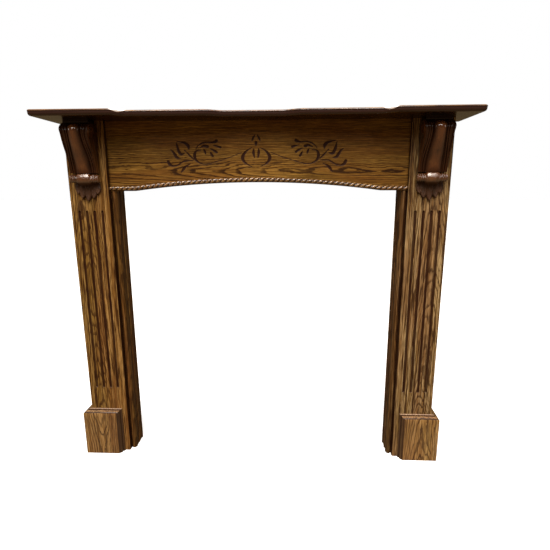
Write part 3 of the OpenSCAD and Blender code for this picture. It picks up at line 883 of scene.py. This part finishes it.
def side_relief(p, z, edge):
    """Volute and edge bead on the flat side of a corbel, in metres outwards."""
    p, z, edge = p / MM, z / MM, edge / MM
    eye_p, eye_z = 44.0, 1196.0
    r = np.hypot(p - eye_p, z - eye_z)
    angle = np.arctan2(z - eye_z, p - eye_p)
    coil = 0.5 + 0.5 * np.cos(2 * math.pi * (r / 9.5) - angle)
    volute = 2.2 * coil * (1 - smooth_step((r - 19) / 5))
    bead = 1.8 * np.exp(-((edge - p - 5) / 2.6) ** 2)
    lower = 1.6 * np.exp(-((p - edge * 0.45) / 5) ** 2) * (1 - smooth_step((z - 1155) / 25))
    return (volute + bead + lower) * MM


def corbel_side(edge, zs, shares):
    """Points and painted shade of a flat side (edge -1 or 1), shares of the way out to the front."""
    front = corbel_stand_out(zs) + corbel_relief(np.full(len(zs), CORBEL_HALF), zs)[0]
    p = (shares[:, None] * front[None, :]).ravel()
    z = np.tile(zs, len(shares))
    fade = np.repeat(np.minimum(shares * 8, 1) * np.minimum((1 - shares) * 10, 1), len(zs))
    out = side_relief(p, z, np.tile(front, len(shares))) * fade
    # Painted shade on the flat side away from its raised carving, and black on the slab
    painted_shade = np.maximum(0.55 * (1 - smooth_step(out / MM / 2)), smooth_step((z / MM - CORBEL_TOP) / 2))
    return np.column_stack([edge * (corbel_width(z) + out), p, z]), painted_shade


def corbel_caps(columns, side_columns, rows):
    """Foot, top and back faces that close a front grid and the two side grids stored after it."""
    side_a = columns * rows
    side_b = side_a + side_columns * rows
    caps = []
    for level in (0, rows - 1):
        front_row = [i * rows + level for i in range(columns)]
        left_row = [side_a + i * rows + level for i in range(side_columns)]
        right_row = [side_b + i * rows + level for i in range(side_columns)]
        caps.append(left_row + front_row + right_row[::-1])
    caps.append([side_a + j for j in range(rows)] + [side_b + j for j in range(rows)][::-1])
    return caps


def make_corbel(side):
    name = sided("corbel_carved", side)
    xs = np.linspace(-CORBEL_HALF, CORBEL_HALF, 125)
    zs = np.linspace(CORBEL_LOW_Z, SHELF_LOW.z, 150)
    shares = np.linspace(0, 1, 40)
    gx, gz = np.repeat(xs, len(zs)), np.tile(zs, len(xs))
    relief, painted_shade = corbel_relief(gx, gz)
    front = np.column_stack([gx * corbel_width(gz) / CORBEL_HALF, corbel_stand_out(gz) + relief, gz])
    grids = [(front, painted_shade), corbel_side(-1, zs, shares), corbel_side(1, zs, shares)]
    faces = grid_faces(len(xs), len(zs))
    for start in (len(gx), len(gx) + len(shares) * len(zs)):
        faces += grid_faces(len(shares), len(zs), start)
    faces += corbel_caps(len(xs), len(shares), len(zs))
    across, out, up = np.vstack([points for points, _ in grids]).T
    placed = np.column_stack([side * LEG_MID + across, LEG_FACE_Y - out, up])
    add_piece(name, sided("corbel", side), placed, faces, mahogany("mahogany_" + name, 3.0 + side),
              {"painted_shade": np.concatenate([dark for _, dark in grids])}, angle=48,
              merge=0.02 * MM)


# Rolled top of the acanthus leaf, in millimetres: smooth in the middle, crimped at its ends
ROLL_HALF = 50
ROLL_R = 21.5
CRIMP_FROM = 23
CRIMP_PITCH = 6.8


def leaf_roll():
    across = np.linspace(-1, 1, 161)
    around = np.linspace(0, 2 * math.pi, 72, endpoint=False)
    vertices = []
    for u in across:
        x = ROLL_HALF * u
        crimped = smooth_step((abs(x) - CRIMP_FROM + 1) / 4)
        swell = ROLL_R - 4.5 * min(abs(x) / (CRIMP_FROM + 1), 1) ** 3 - 3.6 * crimped - 2.0 * abs(u) ** 6
        notch = -3.0 * math.exp(-((abs(x) - CRIMP_FROM) / 1.8) ** 2)
        end = math.sqrt(max(0.0, 1 - (max(0.0, abs(u) - 0.94) / 0.06) ** 2))
        for a in around:
            twist = 2 * math.pi * (abs(x) - CRIMP_FROM) / CRIMP_PITCH + 1.3 * math.sin(2 * a)
            facing = 0.35 + 0.65 * max(0.0, math.cos(a - 0.8))
            crimp = crimped * facing * (2.2 * math.cos(twist) + 0.8 * math.cos(5 * a + x))
            r = (swell + crimp + notch) * (0.3 + 0.7 * end)
            vertices.append((x, ROLL_OUT / MM + r * math.cos(a), ROLL_Z / MM + r * math.sin(a)))
    return vertices, tube_faces(len(across), len(around))


def leaf_lobe(root_x, angle, length, half_width, lift):
    """One lobe of the hanging leaf: a ridged tongue with a round end, pointing down."""
    along = np.linspace(0, 1, 34)
    across = np.linspace(-1, 1, 23)
    root = (root_x, ROLL_Z / MM - 10)
    down = (math.sin(angle), -math.cos(angle))
    sideways = (math.cos(angle), math.sin(angle))
    vertices = []
    for layer in (1, 0):
        for s in along:
            wide = half_width * (0.85 + 0.15 * math.sin(math.pi * min(1, s + 0.1))) * (1 - s ** 4) ** 0.6
            for t in across:
                dome = lift * (1 - 0.35 * s) * (1 - t * t) ** 0.75
                vein = -1.5 * math.exp(-(t / 0.14) ** 2) * (1 - 0.7 * s)
                p = (2.0 + dome + vein + 5.0 * s ** 2) if layer else 0.0
                vertices.append((root[0] + down[0] * length * s + sideways[0] * wide * t, p,
                                 root[1] + down[1] * length * s + sideways[1] * wide * t))
    columns, rows = len(along), len(across)
    faces = grid_faces(columns, rows) + grid_faces(columns, rows, columns * rows, flip=True)
    rim = grid_rim(columns, rows)
    shift = columns * rows
    for k, here in enumerate(rim):
        after = rim[(k + 1) % len(rim)]
        faces.append((here, after, after + shift, here + shift))
    return vertices, faces


# Lobes of the hanging leaf: root across, angle, length, half width, lift
LEAF_LOBES = [(-26, -0.22, 41, 15, 5), (26, 0.22, 41, 15, 5),
              (-14, -0.12, 55, 15, 7), (14, 0.12, 55, 15, 7), (0, 0, 65, 14, 9)]


def make_leaf(side):
    """The roll and the lobes overlap, and a voxel remesh fuses them into one carving."""
    name = sided("corbel_leaf_carved", side)
    parts = [leaf_roll()] + [leaf_lobe(*lobe) for lobe in LEAF_LOBES]
    vertices, faces = [], []
    for part_vertices, part_faces in parts:
        shift = len(vertices)
        vertices += part_vertices
        faces += [[i + shift for i in face] for face in part_faces]
    v = np.array(vertices) * MM
    placed = np.column_stack([side * LEG_MID + v[:, 0], LEG_FACE_Y - np.maximum(v[:, 1], 0), v[:, 2]])
    # Below a height just under the roll, the leaf gets painted shade
    wood = mahogany("mahogany_" + name, 9.0 + side, ROLL_Z - 9 * MM)
    piece = add_piece(name, sided("corbel_leaf", side), placed, faces, wood,
                      {"painted_shade": np.zeros(len(placed))})
    fuse = piece.modifiers.new("fuse", "REMESH")
    fuse.mode = "VOXEL"
    fuse.voxel_size = LEAF_VOXEL
    fuse.use_smooth_shade = True


# ------------------------ jamb mouldings and plinths

JAMB_LOW, JAMB_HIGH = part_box("jamb_moulding_right")
PLINTH_LOW, PLINTH_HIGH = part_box("plinth_front_right")
PLINTH_PROUD = LEG_FACE_Y - PLINTH_LOW.y


def jamb_profile():
    """(across from the opening, depth from the wall, darkening) in millimetres, back to front.

    The darkening is painted shade, deepest in the creases beside the beads and in the quirk
    behind the nose, and slight on the beads and the nose.
    """
    wall_bead = [(2.4 - 2.0 * math.cos(a), 4.5 + 3.0 * math.sin(a), 0.1) for a in np.linspace(-1.4, 1.4, 9)]
    mid_bead = [(2.4 - 2.0 * math.cos(a), 36 + 3.2 * math.sin(a), 0.1) for a in np.linspace(-1.4, 1.4, 9)]
    nose = [(10.5 - 10.2 * math.cos(a), 62 + 15.5 * math.sin(a), 0.25 - 0.2 * a / 1.57)
            for a in np.linspace(0, math.pi / 2, 16)]
    inner_flat = [(3.6, 8.6, 0.95), (3.4, 10, 0.45), (3.2, 30, 0.45), (3.6, 31.8, 0.95)]
    outer_flat = [(3.6, 40.4, 0.95), (3.2, 42, 0.5), (3.0, 55, 0.5), (3.4, 57.5, 0.95), (1.2, 59.6, 0.6)]
    quirk = [(14.2, 76.6, 0.2), (15.6, 75.0, 0.8), (16.2, 71.0, 1.0), (19.5, 70.4, 1.0), (19.5, 0, 1.0)]
    return ([(3.4, 0, 0.6), (3.4, 0.8, 0.9)] + wall_bead + inner_flat + mid_bead + outer_flat + nose
            + quirk)


def make_jamb(side):
    name = sided("jamb_moulded", side)
    profile = jamb_profile()
    heights = np.linspace(0, JAMB_HIGH.z, 24)
    vertices = [(side * (JAMB_LOW.x + across * MM), WALL_Y - depth * MM, z)
                for z in heights for across, depth, _ in profile]
    stain_and_painted_light = [share for _ in heights for _, _, share in profile]
    faces = tube_faces(len(heights), len(profile))
    # Both jambs are tinted darker, the right one most, as painted shade
    tint = (0.66, 0.70, 1.1) if side > 0 else (0.80, 0.80, 0.95)
    wood = oak("oak_" + name, "z", "y", 0.05, 0.12, 0.02 * side, 5.0 + side, tint=tint, stain_and_painted_light=True)
    add_piece(name, sided("jamb_moulding", side), vertices, faces, wood, {"stain_and_painted_light": stain_and_painted_light},
              angle=40)


# Edge moulding of the plinths: (stand-out, distance from the edge, darkening), as shares of the
# plinth's thickness and of the moulding's run: a bead at the back, a quirk, and an ovolo. The
# darkening is painted shade in the quirks; below nought it paints highlights on the ledges.
PLINTH_MOULD = [(0.0, 0.0, 0.6), (0.10, 0.0, -0.05), (0.22, 0.02, -0.22), (0.29, 0.10, 0.1),
                (0.31, 0.20, 0.9), (0.32, 0.33, 1.0), (0.42, 0.36, 1.0), (0.46, 0.37, 0.0),
                (0.58, 0.40, -0.06), (0.70, 0.47, 0.0), (0.79, 0.58, 0.3), (0.84, 0.70, 0.9),
                (0.85, 0.82, 1.0), (0.93, 0.84, 0.6), (0.98, 0.90, 0.1), (1.0, 1.0, 0.0)]
TOP_RUN = 12 * MM
SIDE_RUN = 17 * MM

# The front's inner edge moulding is darkened with painted shade, and the painted highlights on the return
# are faint
INNER_PAINTED_SHADE = 0.82
RETURN_HIGHLIGHT_SHARE = 0.3


def mould_places(start, end, run):
    """Places from an edge, where the moulding runs, across the flat to the other edge."""
    way = math.copysign(run, end - start)
    moulding = [start + share * way for _, share, _ in PLINTH_MOULD]
    return moulding + list(np.linspace(start + way, end, 12))[1:]


def make_plinth_front(side):
    """A board whose top and inner edges carry the moulding, mitred where the two meet."""
    name = sided("plinth_front_moulded", side)
    steps = len(PLINTH_MOULD)
    outer = PLINTH_HIGH.x
    across = mould_places(PLINTH_LOW.x, outer, SIDE_RUN)
    down = mould_places(PLINTH_HIGH.z, 0, TOP_RUN)
    columns, rows = len(across), len(down)
    front, stain_and_painted_light = [], []
    for i, x in enumerate(across):
        for j, z in enumerate(down):
            k = min(i, j, steps - 1)
            proud, _, dark = PLINTH_MOULD[k]
            if i == columns - 1:
                row = PLINTH_MOULD[min(j, steps - 1)]
                x = outer - (1 - row[0]) * PLINTH_PROUD
            front.append((x, LEG_FACE_Y - proud * PLINTH_PROUD, z))
            # Painted shade on the inner edge moulding
            stain_and_painted_light.append(max(dark, INNER_PAINTED_SHADE) if i <= j and i < steps - 1 else dark)
    faces = []
    for i in range(columns - 1):
        for j in range(rows - 1):
            a, b = i * rows + j, (i + 1) * rows + j
            c, d = b + 1, a + 1
            faces += [(a, b, c), (a, c, d)] if i == j and i < steps else [(a, b, c, d)]

    def to_back(points):
        points[:, 1] = LEG_FACE_Y
        points[points[:, 0] > LEG_OUT, 0] = LEG_OUT
        return points

    vertices, faces = close_slab(np.array(front), columns, rows, faces, to_back)
    stain_and_painted_light += [0.0] * (len(vertices) - len(stain_and_painted_light))
    vertices[:, 0] *= side
    tint = (1.30, 1.45, 2.2) if side > 0 else (1.05, 1.12, 1.6)
    wood = oak("oak_" + name, "z", "x", side * (LEG_MID + 0.03), 0.075, 0.03 * side, 8.4 + 2 * side,
               tint=tint, stain_and_painted_light=True, figure=0.75, gloss=0.26, coat=1.0)
    add_piece(name, sided("plinth_front", side), vertices, faces, wood, {"stain_and_painted_light": stain_and_painted_light},
              angle=30)


def make_plinth_return(side):
    """The plinth's outer side, mitred to the front, with the moulding along its top."""
    name = sided("plinth_return_moulded", side)
    steps = len(PLINTH_MOULD)
    down = mould_places(PLINTH_HIGH.z, 0, TOP_RUN)
    along = np.linspace(0, 1, 14)
    columns, rows = len(along), len(down)
    front, stain_and_painted_light = [], []
    for share in along:
        for j, z in enumerate(down):
            proud, _, dark = PLINTH_MOULD[min(j, steps - 1)]
            mitre = LEG_FACE_Y - proud * PLINTH_PROUD
            front.append((LEG_OUT + proud * PLINTH_PROUD, mitre + (WALL_Y - mitre) * share, z))
            # The return's painted highlights are faint
            stain_and_painted_light.append(max(dark, RETURN_HIGHLIGHT_SHARE * dark))

    def to_back(points):
        points[points[:, 1] < LEG_FACE_Y, 1] = LEG_FACE_Y
        points[:, 0] = LEG_OUT
        return points

    vertices, faces = close_slab(np.array(front), columns, rows, grid_faces(columns, rows), to_back)
    stain_and_painted_light += [0.0] * (len(vertices) - len(stain_and_painted_light))
    vertices[:, 0] *= side
    wood = oak("oak_" + name, "z", "y", 0.06, 0.09, 0.03, 13.1 + 2 * side, stain_and_painted_light=True,
               gloss=0.26, coat=0.6)
    add_piece(name, sided("plinth_return", side), vertices, faces, wood, {"stain_and_painted_light": stain_and_painted_light},
              angle=30)


# ------------------------ finishes on the CAD joinery

def finish_node(node, material, bevel=0.8):
    """Gives a CAD node its material and eases its edges by bevel millimetres."""
    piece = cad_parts[node]
    piece.data.materials.clear()
    piece.data.materials.append(material)
    if bevel:
        ease = piece.modifiers.new("eased_edges", "BEVEL")
        ease.width = bevel * MM
        ease.segments = 2
        ease.limit_method = "ANGLE"
        ease.angle_limit = math.radians(50)


def finish_leg(side):
    # Darkened deeper than the face: staining and painted shade in the flutes, painted shade on the
    # pilaster's sides
    recess = ("y", LEG_FACE_Y + 0.1 * MM, 1.5 * MM)
    tint = (1.14, 1.45, 2.7) if side > 0 else (1.0, 1.04, 1.3)
    pilaster = sided("pilaster", side)
    wood = oak("oak_" + pilaster, "z", "x", side * (LEG_MID + 0.027), 0.042, 0.05, 2.3 + side * 1.9,
               ring=3.2, grain=160, figure=1.35, tint=tint, recess=recess)
    finish_node(pilaster, wood, 0)
    for number, board in enumerate(("inner_return", "outer_return")):
        node = sided(board, side)
        wood = oak("oak_" + node, "z", "y", 0.06 + 0.02 * side, 0.08, 0.05 * side,
                   4.1 + number * 3.3 + side)
        finish_node(node, wood)
    finish_node(sided("glue_blocks", side), softwood(sided("softwood_leg", side), "z", 2.0 + side))
    finish_node(sided("leg_spreaders", side), softwood(sided("softwood_spreader", side), "x", 4.0 + side))
    finish_node(sided("keyhole_plate", side), zinc(sided("zinc_plate", side)), 0)


def finish_joinery():
    finish_leg(1)
    finish_leg(-1)
    for number, node in enumerate(("shelf_rail", "wall_cleat", "frieze_dowels")):
        finish_node(node, softwood("softwood_" + node, "x", 6.0 + number), 0.5)
    finish_node("corbel_dowels", softwood("softwood_corbel_dowels", "y", 9.0), 0.3)
    for node in ("shelf_screws", "keyhole_screws"):
        finish_node(node, zinc("zinc_" + node), 0)


make_camera()
make_stage()
make_world()
make_lights()
make_shelf()
make_frieze()
make_rope()
make_corbel(1)
make_corbel(-1)
make_leaf(1)
make_leaf(-1)
for leg_side in (1, -1):
    make_jamb(leg_side)
    make_plinth_front(leg_side)
    make_plinth_return(leg_side)
finish_joinery()
